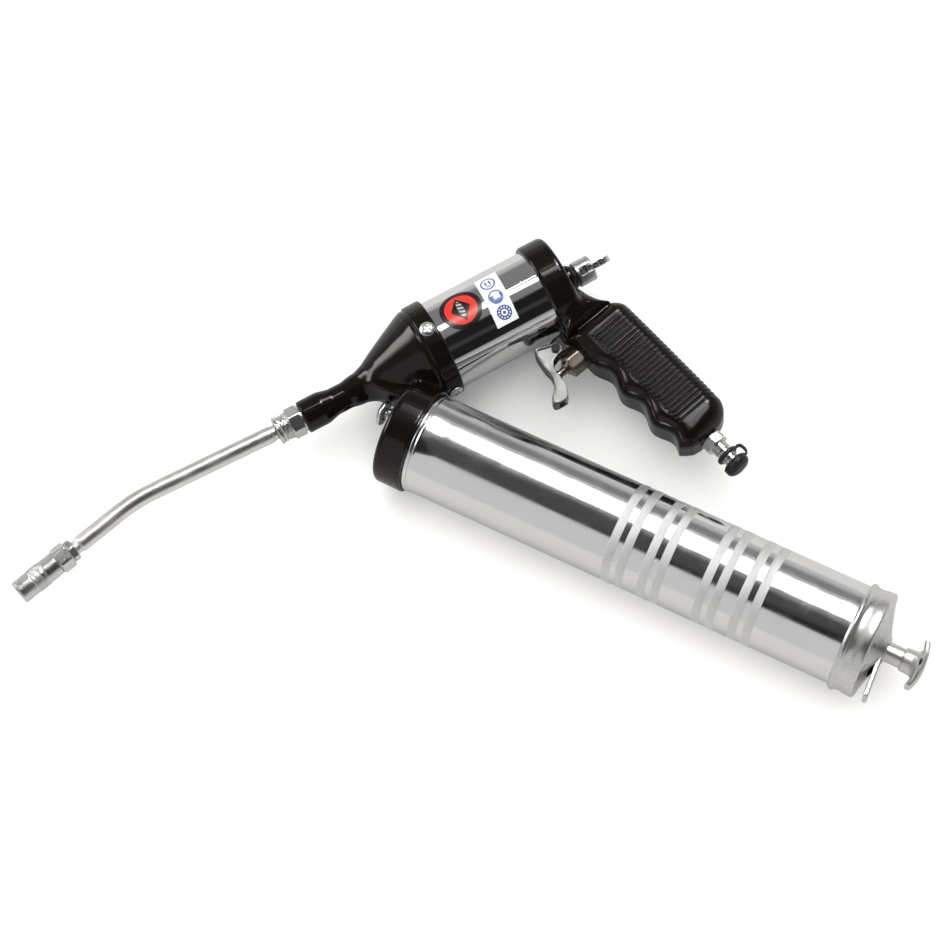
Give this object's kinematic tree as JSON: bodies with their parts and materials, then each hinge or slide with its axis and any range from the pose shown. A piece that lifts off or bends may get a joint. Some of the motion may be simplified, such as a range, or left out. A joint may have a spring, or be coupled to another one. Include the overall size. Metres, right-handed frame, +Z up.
{
  "type": "air-operated grease gun",
  "caption": "Pistol-grip air-operated grease gun with an angled cartridge barrel, bent delivery pipe, coupler, trigger valve and pull-rod follower.",
  "frame": {"origin": "centre of the outline, on the surface that the gun lies on", "axes": "+X along the air cylinder towards the hanging eye, +Y square to it in the gun's middle plane and away from the handle, +Z up, square to the middle plane, on the side with the badge and the label"},
  "size_m": [0.4192, 0.3304, 0.062],
  "materials": {
    "black_casting": "glossy near-black enamel on a die casting",
    "chrome_tube": "bright chrome plate",
    "plated_steel": "bright nickel plate, slightly softer than the tubes",
    "valve_nickel": "satin nickel, slightly warm",
    "trigger_zinc": "matt grey die casting",
    "dark_steel": "dark oxide",
    "plain_steel": "machined or pressed steel",
    "spring_steel": "spring wire",
    "piston_alloy": "turned aluminium",
    "brass": "turned or sintered brass",
    "black_rubber": "black rubber, slightly shiny",
    "grip_black": "gloss black moulded grip",
    "badge_red": "printed foil sticker",
    "label_white": "printed foil sticker"
  },
  "bodies": {
    "gun": {"pump_head": "black_casting", "head_screws": "plated_steel", "packing_bush": "brass", "plunger_packing": "black_rubber", "check_seat": "plain_steel", "check_spring": "spring_steel", "outlet_adapter": "plated_steel", "delivery_pipe": "plated_steel", "coupler_locknut": "plated_steel", "coupler_body": "plated_steel", "coupler_cap": "plated_steel", "coupler_spring": "spring_steel", "bleeder_body": "valve_nickel", "bleeder_spring": "spring_steel", "air_cylinder": "chrome_tube", "front_gasket": "black_rubber", "return_spring": "spring_steel", "handle_casting": "black_casting", "grip_sleeve": "grip_black", "rear_gasket": "black_rubber", "trigger_pin": "dark_steel", "pin_clips": "dark_steel", "valve_body": "valve_nickel", "valve_spring": "spring_steel", "inlet_nipple": "plated_steel", "inlet_filter": "brass", "cap_tether": "black_rubber", "hanger_boss": "plated_steel", "hanger_clevis": "plated_steel", "hanger_pin": "plated_steel", "barrel_tube": "chrome_tube", "barrel_gasket": "black_rubber", "end_cap": "plated_steel", "spring_seat": "plain_steel", "latch_spring": "spring_steel", "follower_spring": "spring_steel", "badge_disc": "badge_red", "info_label": "label_white"},
    "check_ball": {"check_ball": "plain_steel"},
    "jaws": {"coupler_jaws": "plain_steel", "coupler_seal": "black_rubber"},
    "bleeder_button": {"bleeder_button": "plated_steel"},
    "piston": {"air_piston": "piston_alloy", "piston_seal": "black_rubber", "plunger": "chrome_tube", "piston_nut": "plain_steel"},
    "trigger": {"trigger": "trigger_zinc"},
    "valve_stem": {"valve_stem": "valve_nickel", "valve_seal": "black_rubber"},
    "follower": {"follower_rod": "chrome_tube", "t_handle": "plated_steel", "follower_plate": "plain_steel", "follower_cup": "black_rubber", "follower_nut": "plain_steel"},
    "rod_latch": {"rod_latch": "plated_steel"},
    "hanging_eye": {"hanger_eye": "plated_steel"},
    "dust_cap": {"dust_cap": "black_rubber"}
  },
  "joints": [
    {"name": "trigger_pull", "type": "hinge", "parent": "gun", "child": "trigger", "pos_m": [0.11915, 0.10012, 0.031], "axis": [0, 0, 1], "range_deg": [0, 14], "stiffness_Nm_per_rad": 0.1, "springref_deg": -2.86},
    {"name": "valve_travel", "type": "slide", "parent": "gun", "child": "valve_stem", "axis": [0.9744, 0.225, 0], "range_m": [0, 0.00285], "deforming": ["valve_spring"]},
    {"name": "piston_stroke", "type": "slide", "parent": "gun", "child": "piston", "axis": [-1, 0, 0], "range_m": [0, 0.027], "stiffness_N_per_m": 400, "springref_m": -0.02, "deforming": ["return_spring"]},
    {"name": "check_lift", "type": "slide", "parent": "gun", "child": "check_ball", "axis": [-1, 0, 0], "range_m": [0, 0.0015], "stiffness_N_per_m": 300, "springref_m": -0.002, "deforming": ["check_spring"]},
    {"name": "jaw_travel", "type": "slide", "parent": "gun", "child": "jaws", "axis": [0.977, 0.213, 0], "range_m": [0, 0.002], "stiffness_N_per_m": 1500, "springref_m": -0.001, "deforming": ["coupler_spring"]},
    {"name": "bleeder_press", "type": "slide", "parent": "gun", "child": "bleeder_button", "axis": [0.5664, -0.8241, 0], "range_m": [0, 0.0018], "stiffness_N_per_m": 800, "springref_m": -0.001, "deforming": ["bleeder_spring"]},
    {"name": "follower_travel", "type": "slide", "parent": "gun", "child": "follower", "axis": [0.5664, -0.8241, 0], "range_m": [0, 0.225], "stiffness_N_per_m": 120, "springref_m": -0.06, "deforming": ["follower_spring"]},
    {"name": "latch_tilt", "type": "hinge", "parent": "gun", "child": "rod_latch", "pos_m": [0.19124, -0.13581, 0.031], "axis": [0, 0, -1], "range_deg": [0, 4.5], "stiffness_Nm_per_rad": 0.5, "springref_deg": -2.86, "deforming": ["latch_spring"]},
    {"name": "eye_swing", "type": "hinge", "parent": "gun", "child": "hanging_eye", "pos_m": [0.15845, 0.13632, 0.031], "axis": [0, 0.9342, 0.3567], "range_deg": [-80, 80]},
    {"name": "dust_cap_pull", "type": "slide", "parent": "gun", "child": "dust_cap", "axis": [0.225, -0.9744, 0], "range_m": [0, 0.01]}
  ],
  "couplings": [
    {"joint": "valve_travel", "follows": "trigger_pull", "m_per_rad": 0.0116}
  ]
}
